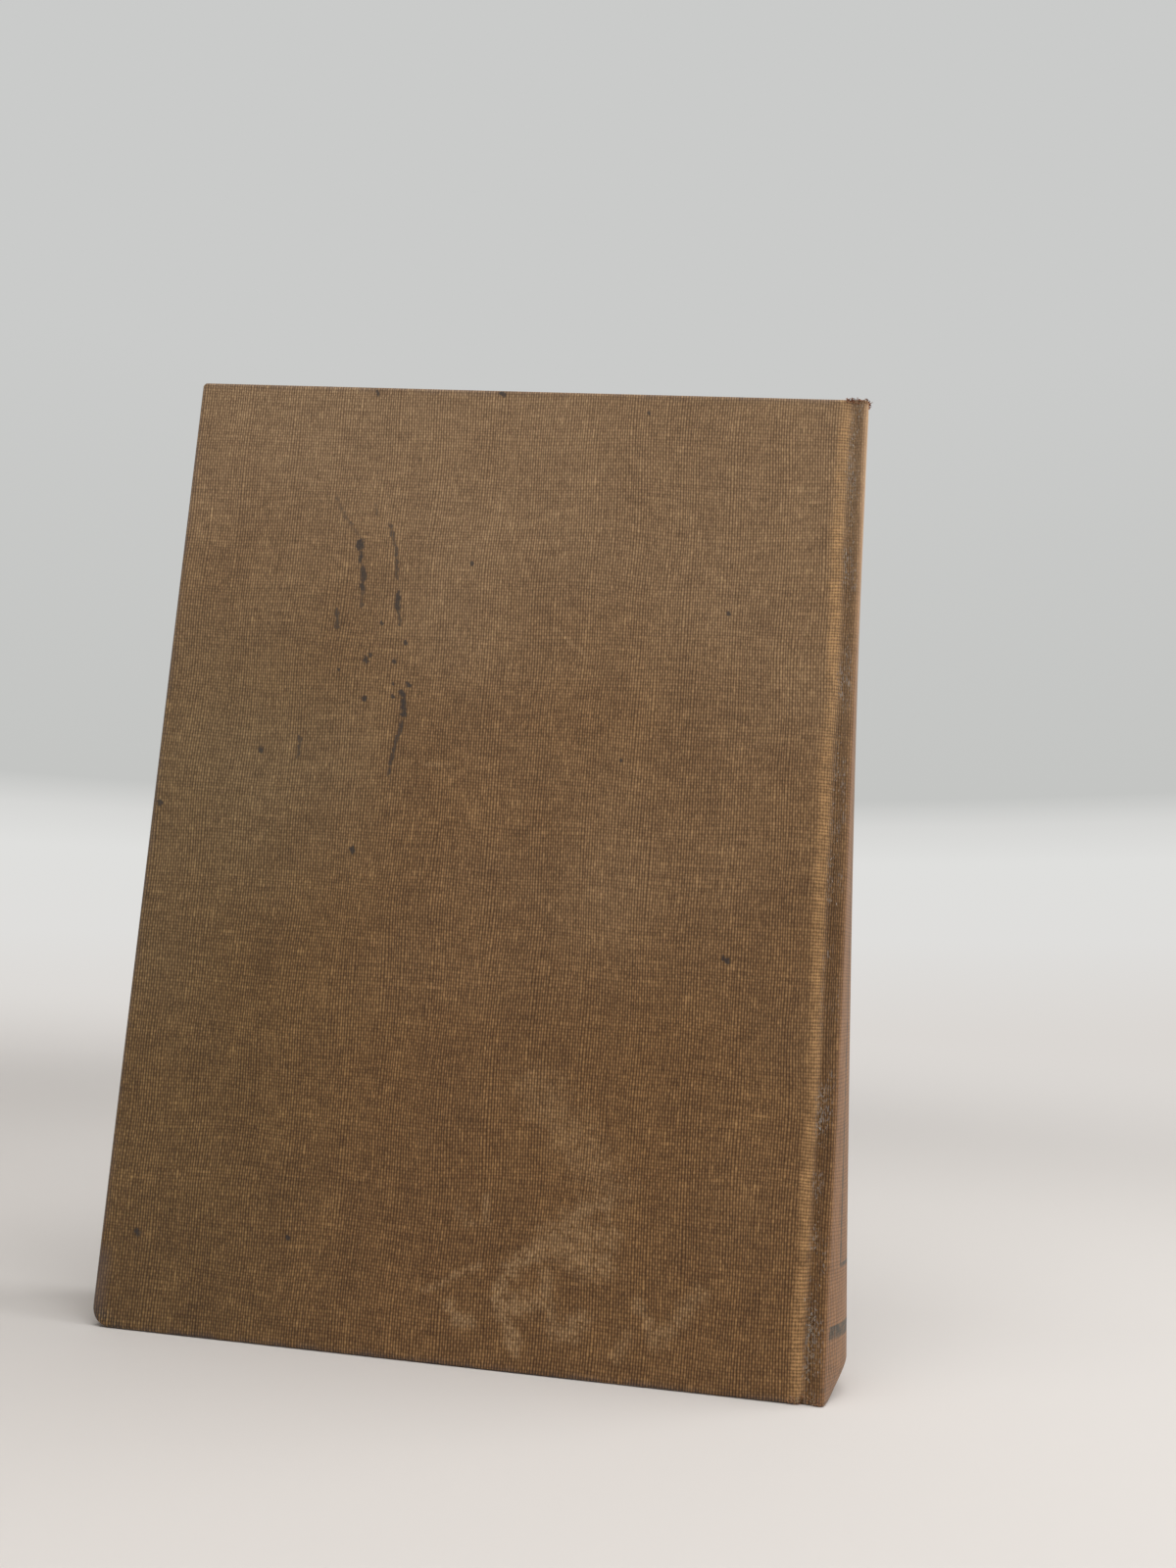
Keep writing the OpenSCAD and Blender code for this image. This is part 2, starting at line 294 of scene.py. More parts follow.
def face_grid(path, across, tail_r):
    """The outer face as a grid along the path and up the book: its x, y, z and arc length."""
    square_x, z = np.meshgrid(path[:, 0], height_lines(), indexing="ij")
    x, y = square_x, path[:, 1:] + 0 * z
    for corner_r, corner_z, way_z in ((tail_r, tail_r, -1), (CORNER_R, HEIGHT - CORNER_R, 1)):
        near = np.arange(len(path))[:, None] < np.searchsorted(path[:, 0], FORE_X + corner_r - NEAR)
        x, z = round_corner(x, z, near, FORE_X + corner_r, corner_z, way_z, corner_r - EDGE_R)
    s = across[:, None] + (x - square_x)
    return x, y + joint_fill(x, y, z), z, s


def way_out(x, z, fore, foot, tail_r):
    """The way over the border at one place, and how far the cloth may be turned in there."""
    if x < FORE_X + tail_r - NEAR and z < tail_r - NEAR:
        return x - (FORE_X + tail_r), z - tail_r, tail_r
    if x < FORE_X + CORNER_R - NEAR and z > HEIGHT - CORNER_R + NEAR:
        return x - (FORE_X + CORNER_R), z - (HEIGHT - CORNER_R), CORNER_R
    if fore:
        return -1.0, 0.0, min(z, HEIGHT - z, TURN_IN)
    return 0.0, -1.0 if foot else 1.0, min(x - FORE_X, TURN_IN)


def turn_in_rings(thick, limit):
    """The lines of the turned-in edge, each as how far out of the face's border and how deep behind it."""
    r = np.minimum(EDGE_R, thick / 2 * 0.98)
    rings = []
    for a in map(math.radians, np.linspace(0, 90, 5)):
        rings.append((EDGE_R - r + r * math.sin(a), r * (1 - math.cos(a))))
    for t in (1 / 3, 2 / 3):
        rings.append((EDGE_R + 0 * thick, r + (thick - 2 * r) * t))
    for a in map(math.radians, np.linspace(0, 90, 4)):
        rings.append((EDGE_R - r + r * math.cos(a), thick - r + r * math.sin(a)))
    for t in (0.12, 0.25, 0.5, 1.0):
        reach = np.minimum(EDGE_R + (TURN_IN - EDGE_R) * t, limit)
        rings.append((EDGE_R - np.maximum(reach, EDGE_R), thick))
    return rings


def cloth_piece(name, points, faces, uvs, inside):
    data = bpy.data.meshes.new(name)
    data.from_pydata(points.tolist(), [], faces)
    layer = data.uv_layers.new(name="cloth")
    corners = np.zeros(len(data.loops), np.int64)
    data.loops.foreach_get("vertex_index", corners)
    layer.data.foreach_set("uv", uvs[corners].astype(np.float32).ravel())
    data.polygons.foreach_set("use_smooth", np.ones(len(data.polygons), bool))
    add_values(data, "inside", inside)
    clean = bmesh.new()
    clean.from_mesh(data)
    bmesh.ops.dissolve_degenerate(clean, dist=1e-7, edges=clean.edges)
    bmesh.ops.remove_doubles(clean, verts=clean.verts, dist=1e-7)
    clean.to_mesh(data)
    clean.free()
    return add_object(name, data)


def case_half(name, side, tail_r):
    """One half of the case's cloth, from its turned-in fore-edge to the middle of the spine.
    side is 1 for the front half and -1 for the back one. tail_r rounds its lower fore-edge corner."""
    path, behind, across = lay_path()
    x, y, z, s = face_grid(path, across, tail_r)
    n, m = x.shape
    border = [(i, 0) for i in range(n - 1, 0, -1)] + [(0, j) for j in range(m)]
    border += [(i, m - 1) for i in range(1, n)]
    out, limit = [], []
    for i, j in border:
        ox, oz, most = way_out(x[i, j], z[i, j], i == 0, j == 0, tail_r)
        px, py = path[i]
        if BOARD_X < px < ROUND_X or px > ROUND_X and abs(py) > INLAY_HALF + 2 * MM:
            most = min(most, FOLD_DEPTH)
        size = math.hypot(ox, oz)
        out.append((ox / size, 0.0, oz / size))
        limit.append(most)
    out = np.array(out)
    row, column = np.array(border).T
    base = np.stack([x, y, z], -1)[row, column]
    base_uv = np.stack([s, z], -1)[row, column]
    depth = np.pad(behind - path, ((0, 0), (0, 1)))[row]
    thick = np.linalg.norm(depth, axis=1)
    into = depth / thick[:, None]

    points = [np.stack([x, y, z], -1).reshape(-1, 3)]
    uvs = [np.stack([s, z], -1).reshape(-1, 2)]
    inside = [np.zeros(n * m)]
    faces = [(i * m + j, (i + 1) * m + j, (i + 1) * m + j + 1, i * m + j + 1)
             for i in range(n - 1) for j in range(m - 1)]
    count = len(border)
    previous = [i * m + j for i, j in border]
    length, last_e, last_w = np.zeros((3, count))
    for ring, (e, w) in enumerate(turn_in_rings(thick, np.array(limit))):
        length = length + np.hypot(e - last_e, w - last_w)
        last_e, last_w = e, w
        points.append(base + out * e[:, None] + into * w[:, None])
        uvs.append(base_uv + out[:, ::2] * length[:, None])
        inside.append((w > thick * 0.6).astype(float))
        current = [n * m + ring * count + k for k in range(count)]
        faces += [(previous[k], previous[k + 1], current[k + 1], current[k]) for k in range(count - 1)]
        previous = current
    px, py, pz = np.concatenate(points).T
    px = px + spine_shift(px, py, np.clip(pz, 0, HEIGHT))
    if side < 0:
        faces = [f[::-1] for f in faces]
    uvs = np.concatenate(uvs) * (-side, 1)
    return cloth_piece(name, np.stack([px, py * side, pz], -1), faces, uvs, np.concatenate(inside))


# Marks on the back cover, in millimetres across and up: half width, strength, points
INK_MARKS = (
    (0.8, 0.5, ((-41.8, 177.1), (-39.2, 172.8), (-36.2, 169.1))), (1.0, 1.0, ((-35.4, 167.6), (-34.9, 163.2))),
    (0.9, 0.9, ((-34.3, 161.5), (-33.9, 157.0))), (0.7, 0.6, ((-33.9, 157.0), (-33.7, 153.2))),
    (0.7, 0.5, ((-32.9, 175.9), (-32.3, 173.7))), (0.7, 0.7, ((-29.2, 171.6), (-27.3, 166.1), (-26.5, 159.6))),
    (0.9, 1.0, ((-26.0, 156.3), (-25.7, 153.1))), (0.6, 0.7, ((-25.7, 153.1), (-24.9, 149.4))),
    (0.7, 0.7, ((-39.1, 152.0), (-38.7, 148.2))), (0.9, 1.0, ((-22.5, 132.9), (-22.2, 130.1))),
    (0.7, 0.8, ((-22.3, 128.6), (-23.2, 124.4), (-24.1, 119.0), (-24.3, 116.9))),
    (0.7, 0.7, ((-44.2, 123.7), (-44.3, 119.5))),
)
INK_SPOTS = (
    (-29.0, 149.7), (-30.9, 142.5), (-31.7, 141.5), (-37.5, 138.9), (-23.5, 145.6), (-25.4, 141.2),
    (-25.2, 136.5), (-21.8, 136.7), (-23.1, 134.5), (-25.1, 133.8), (-31.3, 133.0), (-52.9, 120.9),
    (-10.5, 163.7), (-73.7, 108.0), (-30.4, 100.7), (24.6, 122.9), (48.1, 83.9), (48.9, 83.2),
    (25.3, 198.7), (44.9, 155.3), (-67.6, 19.5), (-36.0, 21.4), (-35.0, 201.7), (-7.1, 202.1),
)
SCUFF_MARKS = (
    (2.0, 0.60, ((28.5, 34.3), (24.5, 32.8), (20.9, 29.2))),
    (3.2, 0.50, ((20.9, 29.2), (24.9, 27.2), (29.2, 27.6))), (0.8, 0.40, ((28.9, 31.7), (30.3, 23.6))),
    (4.0, 0.55, ((17.2, 26.4), (23.3, 22.7), (27.7, 22.2))),
    (2.2, 0.70, ((16.2, 23.3), (11.6, 21.6), (9.7, 19.3))),
    (1.6, 0.80, ((9.7, 19.3), (8.2, 15.6), (8.1, 12.5))), (1.8, 0.70, ((8.1, 12.5), (10.3, 9.0), (12.0, 5.1))),
    (2.8, 0.60, ((9.5, 12.0), (13.3, 13.3), (16.4, 14.0))),
    (1.8, 0.45, ((16.9, 19.3), (17.8, 13.8), (19.6, 8.4))),
    (2.4, 0.60, ((19.6, 8.1), (22.5, 8.7), (24.6, 11.7))), (1.6, 0.70, ((-1.7, 11.3), (-0.1, 9.2), (2.9, 9.0))),
    (0.7, 0.70, ((-7.1, 13.9), (-3.7, 15.4), (-0.7, 17.6), (3.9, 19.9))),
    (0.9, 0.60, ((3.9, 33.1), (4.6, 27.7))), (1.6, 0.40, ((-1.0, 29.6), (1.2, 27.9))),
    (1.4, 0.50, ((35.5, 15.8), (37.6, 13.0), (39.4, 9.0))),
    (2.2, 0.45, ((39.4, 9.0), (43.4, 12.3), (45.1, 15.6), (47.8, 18.3))),
    (1.8, 0.35, ((32.0, 5.1), (34.0, 9.5))), (6.0, 0.3, ((12.8, 55.0), (28.3, 37.0))),
    (1.2, 0.35, ((-4.3, 180.3), (-8.0, 169.2))), (0.3, 0.7, ((8.4, 150.3), (16.2, 144.0))),
    (0.3, 0.5, ((-17.4, 119.4), (-6.9, 120.0))),
)
REFINE_GAP = 0.9


def line_gap(x, z, points):
    """Distance in millimetres from each place to a line through the points."""
    best = np.full_like(x, 1e9)
    for (ax, az), (bx, bz) in zip(points, points[1:]):
        dx, dz = bx - ax, bz - az
        t = np.clip(((x - ax) * dx + (z - az) * dz) / (dx * dx + dz * dz), 0, 1)
        best = np.minimum(best, np.hypot(x - ax - t * dx, z - az - t * dz))
    return best


def marked(x, z, marks, seed):
    """How strongly a list of marks covers each place, from 0 to 1."""
    total = np.zeros_like(x)
    ragged = 0.5 * noise_2d(x, z, 0.8, seed) + 0.3 * noise_2d(x, z, 0.35, seed + 1)
    for half, strength, points in marks:
        gap = line_gap(x, z, points) / half + ragged * 0.8
        total = np.maximum(total, strength * smooth(-gap, -1.15, -0.25))
    return total


def ink_marks():
    """The strokes and the spots, each spot as a very short stroke."""
    spots = [(0.5 + 0.22 * (k % 3), 1.0, ((x, z), (x + 0.2, z - 0.3))) for k, (x, z) in enumerate(INK_SPOTS)]
    return [*INK_MARKS, *spots]


def refine(piece):
    """Makes the grid of the back cover's face four times finer where small marks lie."""
    mesh = bmesh.new()
    mesh.from_mesh(piece.data)
    centres = np.array([face.calc_center_median() for face in mesh.faces]) / MM
    near = np.full(len(centres), 1e9)
    for half, _, points in ink_marks():
        near = np.minimum(near, line_gap(centres[:, 0], centres[:, 2], points) - half)
    flat = (np.abs(centres[:, 1] + FACE_Y / MM) < 0.05) & (near < REFINE_GAP)
    mesh.faces.ensure_lookup_table()
    edges = {edge for k in np.flatnonzero(flat) for edge in mesh.faces[k].edges}
    bmesh.ops.subdivide_edges(mesh, edges=list(edges), cuts=3, use_grid_fill=True)
    mesh.to_mesh(piece.data)
    mesh.free()


def paint(piece, side):
    """Wear, marks and a painted highlight along the ridge, as numbers on the vertices for the material to read,
    worked out in millimetres.
    """
    mesh = piece.data
    places = np.zeros(len(mesh.vertices) * 3, np.float32)
    mesh.vertices.foreach_get("co", places)
    x, y, z = places.reshape(-1, 3).T.astype(float) / MM
    seed = 100 if side < 0 else 200
    end_gap = np.minimum(z, HEIGHT / MM - z)
    fore_gap = x - FORE_X / MM
    rough = noise_2d(x, z, 3, seed) * 0.5 + noise_2d(x, z, 1, seed + 1) * 0.5
    edge = smooth(-np.minimum(end_gap, fore_gap), -1.8, -0.2)
    corner = smooth(-np.hypot(fore_gap, end_gap), -9, -1)
    # The ridge band is partly rubbed cloth and partly a painted highlight along the rounded board edge.
    ridge_x = RIDGE_X / MM - 1.1 + 0.5 * noise_2d(z, z * 0, 14, seed + 2)
    ridge = smooth(-np.abs(x - ridge_x), -1.9, -0.5) * (np.abs(y) > FACE_Y / MM - 1.6)
    layers = {
        "ink": np.zeros_like(x),
        "scuff": corner * np.clip(0.35 + 0.9 * rough, 0, 1) * 0.7,
        "soil": edge * 0.30 * (z < 3) * np.clip(0.8 + rough, 0, 1),
        "rub_and_highlight": ridge * np.clip(0.6 + 0.5 * rough, 0, 1),
        "grey": edge * np.clip(0.35 + 0.7 * rough, 0, 1),
    }
    if side < 0:
        face = smooth(np.abs(y), INNER_Y / MM + 1.0, INNER_Y / MM + 1.6)
        layers["ink"] = marked(x, z, ink_marks(), 31) * face
        layers["scuff"] = np.maximum(layers["scuff"], marked(x, z, SCUFF_MARKS, 41) * face)
        lower = smooth(-(fore_gap + 1.6 * z), -13, -3)
        layers["soil"] = np.maximum(layers["soil"], lower * np.clip(0.55 + 0.5 * rough, 0, 1))
        side_soil = smooth(-fore_gap, -4, -0.5) * smooth(-np.abs(z - 9), -9, -4)
        layers["grey"] = np.maximum(layers["grey"], side_soil)
    for name, values in layers.items():
        add_values(mesh, name, values)


back_half = case_half("back_case_cloth", -1, BUMPED_R)
front_half = case_half("front_case_cloth", 1, CORNER_R)
refine(back_half)
paint(back_half, -1)
paint(front_half, 1)


# The pages and what is glued to their back
SKIN = CLOTH + GAUZE
BLOCK_R = back_radius(BLOCK_HIGH.x - SHOULDER_X - SKIN, SHOULDER_R - SKIN)
BLOCK_CX = BLOCK_HIGH.x - BLOCK_R
FILLET_R = TROUGH_R + SKIN
FORE_CX = BLOCK_LOW.x - math.sqrt(BLOCK_R**2 - HALF_BLOCK**2)
LEAF_LINES = 97
BLOCK_ROWS = 56
BLOCK_COLUMNS = 24
LEAF_UNEVEN = 0.12 * MM
GATHER_UNEVEN = 0.15 * MM


def leaf_lines():
    """The pages seen from the head: t from -1 to 1 over the leaves, and x and y of each station."""
    t = np.linspace(-1, 1, LEAF_LINES)
    fore = FORE_CX + np.sqrt(BLOCK_R**2 - (HALF_BLOCK * t) ** 2)
    columns = [(fore + (GROOVE_X - fore) * k / BLOCK_COLUMNS, HALF_BLOCK * t) for k in range(BLOCK_COLUMNS + 1)]
    for k in range(1, 7):
        a = math.radians(15 * k)
        y = HALF_BLOCK + FILLET_R * (1 - math.cos(a))
        columns.append((np.full_like(t, GROOVE_X + FILLET_R * math.sin(a)), y * t))
    columns.append((np.full_like(t, SHOULDER_X + SKIN), SHOULDER_Y * t))
    columns.append((BLOCK_CX + np.sqrt(BLOCK_R**2 - (SHOULDER_Y * t) ** 2), SHOULDER_Y * t))
    return t, np.array([c[0] for c in columns]), np.array([c[1] for c in columns])


def uneven_leaves(px, pz, pt):
    """Draws the block in a little at the fore-edge and the ends, differently for each leaf."""
    uneven = LEAF_UNEVEN * np.clip(noise_2d(pt * HALF_BLOCK, pz, 0.35 * MM, 5), 0, 1)
    uneven = uneven + GATHER_UNEVEN * (1 + noise_2d(pt * HALF_BLOCK, pz * 0.05, 1.7 * MM, 6)) / 2
    px = px + uneven * np.clip(1 - (px - BLOCK_LOW.x) / (3 * MM), 0, 1)
    end = np.abs(pz - HEIGHT / 2) > (BLOCK_HEAD - BLOCK_FOOT) / 2 - 1e-5
    return px, pz - np.sign(pz - HEIGHT / 2) * end * uneven * 0.5 * np.clip(1 - np.abs(pt) ** 40, 0, 1)


def page_block():
    t, x, y = leaf_lines()
    z = np.linspace(BLOCK_FOOT, BLOCK_HEAD, BLOCK_ROWS)
    mesh = bmesh.new()
    leaf = mesh.verts.layers.float.new("leaf")

    def patch(px, py, pz, pt, flip):
        px, py, pz, pt = np.broadcast_arrays(px, py, pz, pt)
        shift = spine_shift(px, py, pz)
        px, pz = uneven_leaves(px, pz, pt)
        px = px + shift
        rows, cols = px.shape
        verts = [[mesh.verts.new(place) for place in row] for row in np.stack([px, py, pz], -1)]
        for i in range(rows):
            for j in range(cols):
                verts[i][j][leaf] = pt[i, j]
        for i in range(rows - 1):
            for j in range(cols - 1):
                loop = [verts[i][j], verts[i + 1][j], verts[i + 1][j + 1], verts[i][j + 1]]
                face = mesh.faces.new(loop[::-1] if flip else loop)
                face.smooth = False

    for height, flip in ((BLOCK_FOOT, True), (BLOCK_HEAD, False)):
        patch(x, y, height, t, flip)
    for column, flip in ((0, True), (-1, False)):
        patch(x[column][:, None], y[column][:, None], z, t[:, None], flip)
    for leaf_line, flip in ((0, False), (-1, True)):
        patch(x[:, leaf_line][:, None], y[:, leaf_line][:, None], z, t[leaf_line], flip)
    bmesh.ops.remove_doubles(mesh, verts=mesh.verts, dist=1e-7)
    piece = from_bmesh("page_block", mesh)
    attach(piece, "pages_and_spine")
    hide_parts("text_block")
    return piece


CUT_STEP = 6 * MM
END_CUTS = [k * MM for k in (1, 2, 3, 4, 5, 7, 8, 9)]


def settled(name):
    """A copy of a CAD piece of the spine that has moved with the cloth outside it."""
    mesh = bmesh.new()
    mesh.from_mesh(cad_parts[name].data)
    bmesh.ops.remove_doubles(mesh, verts=mesh.verts, dist=1e-7)
    for height in [*END_CUTS, *np.arange(CUT_STEP, HEIGHT, CUT_STEP), *(HEIGHT - cut for cut in END_CUTS)]:
        everything = [*mesh.verts, *mesh.edges, *mesh.faces]
        bmesh.ops.bisect_plane(mesh, geom=everything, plane_co=(0, 0, height), plane_no=(0, 0, 1), dist=1e-7)
    for vertex in mesh.verts:
        vertex.co.x += float(spine_shift(vertex.co.x, vertex.co.y, vertex.co.z))
    piece = from_bmesh("settled_" + name, mesh)
    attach(piece, "pages_and_spine")
    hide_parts(name)
    return piece


HINGE_STEPS = 29
HINGE_ROWS = 30
PASTE_LAP = 0.1 * MM
LEAF_LAP = 0.05 * MM


def across_joint(piece, side):
    """Bakes the piece's transform into its mesh, the same way for either side."""
    if side < 0:
        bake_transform(piece)
    else:
        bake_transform(piece)


def hinge_paper(name, side):
    """The fold of the endpaper, from the sheet pasted to the board to the free leaf."""
    paste_x, paste_y = PASTE_HIGH.x, PASTE_LOW.y
    leaf_x, leaf_y = GROOVE_X, LEAF_LOW.y
    paper = LEAF_HIGH.y - LEAF_LOW.y
    near, far = [], []
    for k in range(HINGE_STEPS):
        t = k / (HINGE_STEPS - 1)
        ease = t * t * (3 - 2 * t)
        px = paste_x - PASTE_LAP + (leaf_x + LEAF_LAP - paste_x + PASTE_LAP) * t
        py = paste_y + (leaf_y - paste_y) * ease
        near.append((px, py))
        far.append((px, py + paper))
    outline = near + far[::-1]
    count = len(outline)
    mesh = bmesh.new()
    rows = np.linspace(BLOCK_FOOT, BLOCK_HEAD, HINGE_ROWS)
    layers = [[mesh.verts.new((px, py * side, height)) for px, py in outline] for height in rows]
    for low, high in zip(layers, layers[1:]):
        for k in range(count):
            mesh.faces.new((low[k], low[(k + 1) % count], high[(k + 1) % count], high[k]))
    for layer in (layers[0], layers[-1]):
        for k in range(HINGE_STEPS - 1):
            mesh.faces.new((layer[k], layer[k + 1], layer[count - 2 - k], layer[count - 1 - k]))
    bmesh.ops.recalc_face_normals(mesh, faces=mesh.faces)
    piece = from_bmesh(name, mesh)
    across_joint(piece, side)
    return piece


pages = page_block()
gauze = settled("spine_gauze")
lining = settled("spine_lining")
inlay = settled("spine_inlay")
head_band = settled("head_band")
tail_band = settled("tail_band")
hinges = [hinge_paper("back_hinge_paper", -1), hinge_paper("front_hinge_paper", 1)]


# Materials
def srgb(red, green, blue):
    """The linear colour that sockets take, from one written as 0 to 255 per channel."""
    parts = [c / 255 for c in (red, green, blue)]
    return (*[c / 12.92 if c <= 0.04045 else ((c + 0.055) / 1.055) ** 2.4 for c in parts], 1)


class Shading:
    """One node material. Most methods add nodes and give their output."""

    def __init__(self, name, roughness, sheen=0.0):
        self.material = bpy.data.materials.new(name)
        self.material.use_nodes = True
        self.tree = self.material.node_tree
        self.surface = self.tree.nodes["Principled BSDF"]
        inputs = self.surface.inputs
        inputs["Roughness"].default_value = roughness
        inputs["Specular IOR Level"].default_value = 0.25
        inputs["Sheen Weight"].default_value = sheen
        inputs["Sheen Roughness"].default_value = 0.6

    def put(self, socket, value):
        if isinstance(value, bpy.types.NodeSocket):
            self.tree.links.new(value, socket)
        elif isinstance(value, tuple):
            socket.default_value = srgb(*value)
        elif value is not None:
            socket.default_value = value

    def new(self, kind):
        return self.tree.nodes.new("ShaderNode" + kind)

    def fill(self, made, *values):
        for socket, value in zip(made.inputs, values):
            self.put(socket, value)
        return made.outputs[0]

    def math(self, kind, a, b=None, c=None, clamp=False):
        made = self.new("Math")
        made.operation = kind
        made.use_clamp = clamp
        return self.fill(made, a, b, c)

    def times(self, first, *others):
        for other in others:
            first = self.math("MULTIPLY", first, other)
        return first

    def plus(self, a, b):
        return self.math("ADD", a, b)

    def scaled(self, value, by, offset):
        return self.math("MULTIPLY_ADD", value, by, offset)

    def thread(self, angle):
        """A round thread over each half turn."""
        return self.math("ABSOLUTE", self.math("SINE", angle))

    def fit(self, value, low, high, to_low=0.0, to_high=1.0):
        made = self.new("MapRange")
        made.interpolation_type = "SMOOTHSTEP"
        return self.fill(made, value, low, high, to_low, to_high)

    def fall(self, value, low, high):
        return self.fit(value, low, high, 1, 0)

    def mix(self, factor, a, b, kind="MIX"):
        made = self.new("Mix")
        made.data_type = "RGBA"
        made.blend_type = kind
        for index, value in ((0, factor), (6, a), (7, b)):
            self.put(made.inputs[index], value)
        return made.outputs[2]

    def ramp(self, factor, stops):
        made = self.new("ValToRGB")
        points = made.color_ramp.elements
        while len(points) < len(stops):
            points.new(0.5)
        for point, (place, colour) in zip(points, stops):
            point.position = place
            point.color = srgb(*colour)
        return self.fill(made, factor)

    def join(self, x, y, z=0.0):
        return self.fill(self.new("CombineXYZ"), x, y, z)

    def split(self, vector):
        made = self.new("SeparateXYZ")
        self.fill(made, vector)
        return made.outputs[:3]

    def noise(self, vector, detail=2.0):
        made = self.new("TexNoise")
        made.inputs["Scale"].default_value = 1.0
        made.inputs["Detail"].default_value = detail
        made.inputs["Roughness"].default_value = 0.5
        return self.fill(made, vector)

    def grain(self, vector, x, y, z, seed, detail=2.0):
        """Noise with so many features a metre along each axis."""
        made = self.new("Mapping")
        made.inputs["Scale"].default_value = (x, y, z)
        made.inputs["Location"].default_value = (seed, seed * 1.7, seed * 0.6)
        return self.noise(self.fill(made, vector), detail)

    def specks(self, fine, seed, detail):
        """Noise in the piece's own space, the same along each axis."""
        return self.grain(self.place(), fine, fine, fine, seed, detail)

    def attribute(self, name):
        made = self.new("Attribute")
        made.attribute_name = name
        return made.outputs["Fac"]

    def uv(self, name):
        made = self.new("UVMap")
        made.uv_map = name
        return made.outputs[0]

    def place(self):
        return self.new("TexCoord").outputs["Object"]

    def finish(self, colour, height=None, depth=0.0001, roughness=None):
        self.put(self.surface.inputs["Base Color"], colour)
        if roughness is not None:
            self.put(self.surface.inputs["Roughness"], roughness)
        if height is not None:
            bump = self.new("Bump")
            bump.inputs["Distance"].default_value = depth
            self.put(bump.inputs["Height"], height)
            self.put(self.surface.inputs["Normal"], bump.outputs[0])
        return self.material


WARP_PITCH = 0.56 * MM
WEFT_PITCH = 0.67 * MM
WARP_SHARE = 0.50
WEFT_SHARE = 0.13
OVER_SHARE = 0.06
# Each ramp runs from the gaps between threads to their tops: the dark gaps are painted shade and the pale tops
# painted highlights, on top of the threads' own browns.
WORN_SHADED_BROWNS = (
    (0.02, (42, 25, 10)), (0.34, (80, 54, 28)), (0.62, (122, 88, 52)), (1.0, (184, 143, 92)),
)
FADED_LIT_BROWNS = (
    (0.02, (66, 47, 30)), (0.34, (110, 84, 58)), (0.62, (147, 118, 86)), (1.0, (196, 164, 124)),
)
FORE_TINT = (238, 247, 246)
JOINT_TINT = (196, 186, 180)
INK = (40, 42, 46)
SCUFF = (206, 172, 128)
RUBBED_AND_HIGHLIT = (212, 166, 112)
SOIL = (30, 26, 22)
GREY_SOIL = (96, 82, 78)
SPINE_TAN = (161, 117, 79)
SPINE_DARK = (116, 83, 55)
SPINE_HEAD = (232, 192, 152)
FIBRE = (168, 164, 158)
STAMP = (62, 60, 50)
TURNED_IN = (84, 56, 34)

# Places along the cloth, measured from the middle of the spine
SPINE_ARC = 13.9 * MM
JOINT_ARC = 17.4 * MM
RULE = 0.75 * MM
FRAME_HALF = 9.6 * MM
FRAME_FOOT = 25.2 * MM
FRAME_HEAD = 179 * MM
BAR_HALF = 12.9 * MM
BAR_FOOT = 12.0 * MM
BAR_HEAD = 14.5 * MM
SOFT = 0.15 * MM
SOFT_END = 0.1 * MM


class Cloth(Shading):
    """The book cloth. u runs across it from the middle of the spine and v up it, in metres."""

    def __init__(self):
        super().__init__("book_cloth", 0.88, 0.15)
        self.laid = self.uv("cloth")
        self.u, self.v, _ = self.split(self.laid)
        self.half = self.math("ABSOLUTE", self.u)

    def wave(self, size, amount, seed, across=1.0, along=1.0, detail=2.0):
        """Noise from -amount to amount with features of one size in metres."""
        made = self.grain(self.laid, across / size, along / size, 1, seed, detail)
        return self.scaled(made, 2 * amount, -amount)

    def streaks(self, wide, high, seed, detail):
        return self.grain(self.laid, 1 / wide, 1 / high, 1, seed, detail)


def drift(sh, amount, seed, across, along):
    """How many threads the weave wanders from a ruled grid."""
    slow = sh.wave(26 * MM, amount, seed, detail=0)
    return sh.plus(slow, sh.wave(1.7 * MM, 0.42, seed + 8, across, along, detail=0))


def weave(sh):
    """The threads' height, and value, which the colours follow: low in the gaps and high on the thread tops, so
    the browns lay painted shade in the gaps and painted highlights on the tops.
    """
    a = sh.scaled(sh.u, 1 / WARP_PITCH, drift(sh, 1.5, 3, 1, 0.08))
    b = sh.scaled(sh.v, 1 / WEFT_PITCH, drift(sh, 1.6, 23, 0.08, 1))
    over = sh.times(sh.math("SINE", sh.times(a, math.pi)), sh.math("SINE", sh.times(b, math.pi)))
    sh.weft = sh.thread(sh.times(b, math.pi))
    sh.fuzz = sh.wave(0.28 * MM, 0.6, 41, 1, 0.35, detail=1)

    # Each thread has a tone of its own, which changes slowly along it
    warp_tone = sh.noise(sh.join(sh.times(sh.math("FLOOR", a), 3.7), sh.times(b, 0.2)), 1)
    weft_tone = sh.noise(sh.join(sh.times(a, 0.1), sh.times(sh.math("FLOOR", b), 3.7)), 1)
    tone = sh.scaled(sh.plus(warp_tone, weft_tone), 0.9, -0.4)
    slub = sh.math("MAXIMUM", sh.fit(warp_tone, 0.64, 0.74), sh.fit(weft_tone, 0.70, 0.80))

    # The upright threads stand out most, as they bend over and under the level ones
    warp = sh.thread(sh.times(a, math.pi))
    height = sh.scaled(warp, WARP_SHARE, sh.times(sh.weft, WEFT_SHARE))
    sh.height = sh.scaled(over, OVER_SHARE, height)
    value = sh.scaled(sh.fuzz, 0.36, sh.height)
    value = sh.scaled(slub, 0.07, value)
    value = sh.scaled(tone, 0.30, value)
    sh.value = sh.plus(value, sh.wave(9 * MM, 0.07, 61, 1, 0.5))


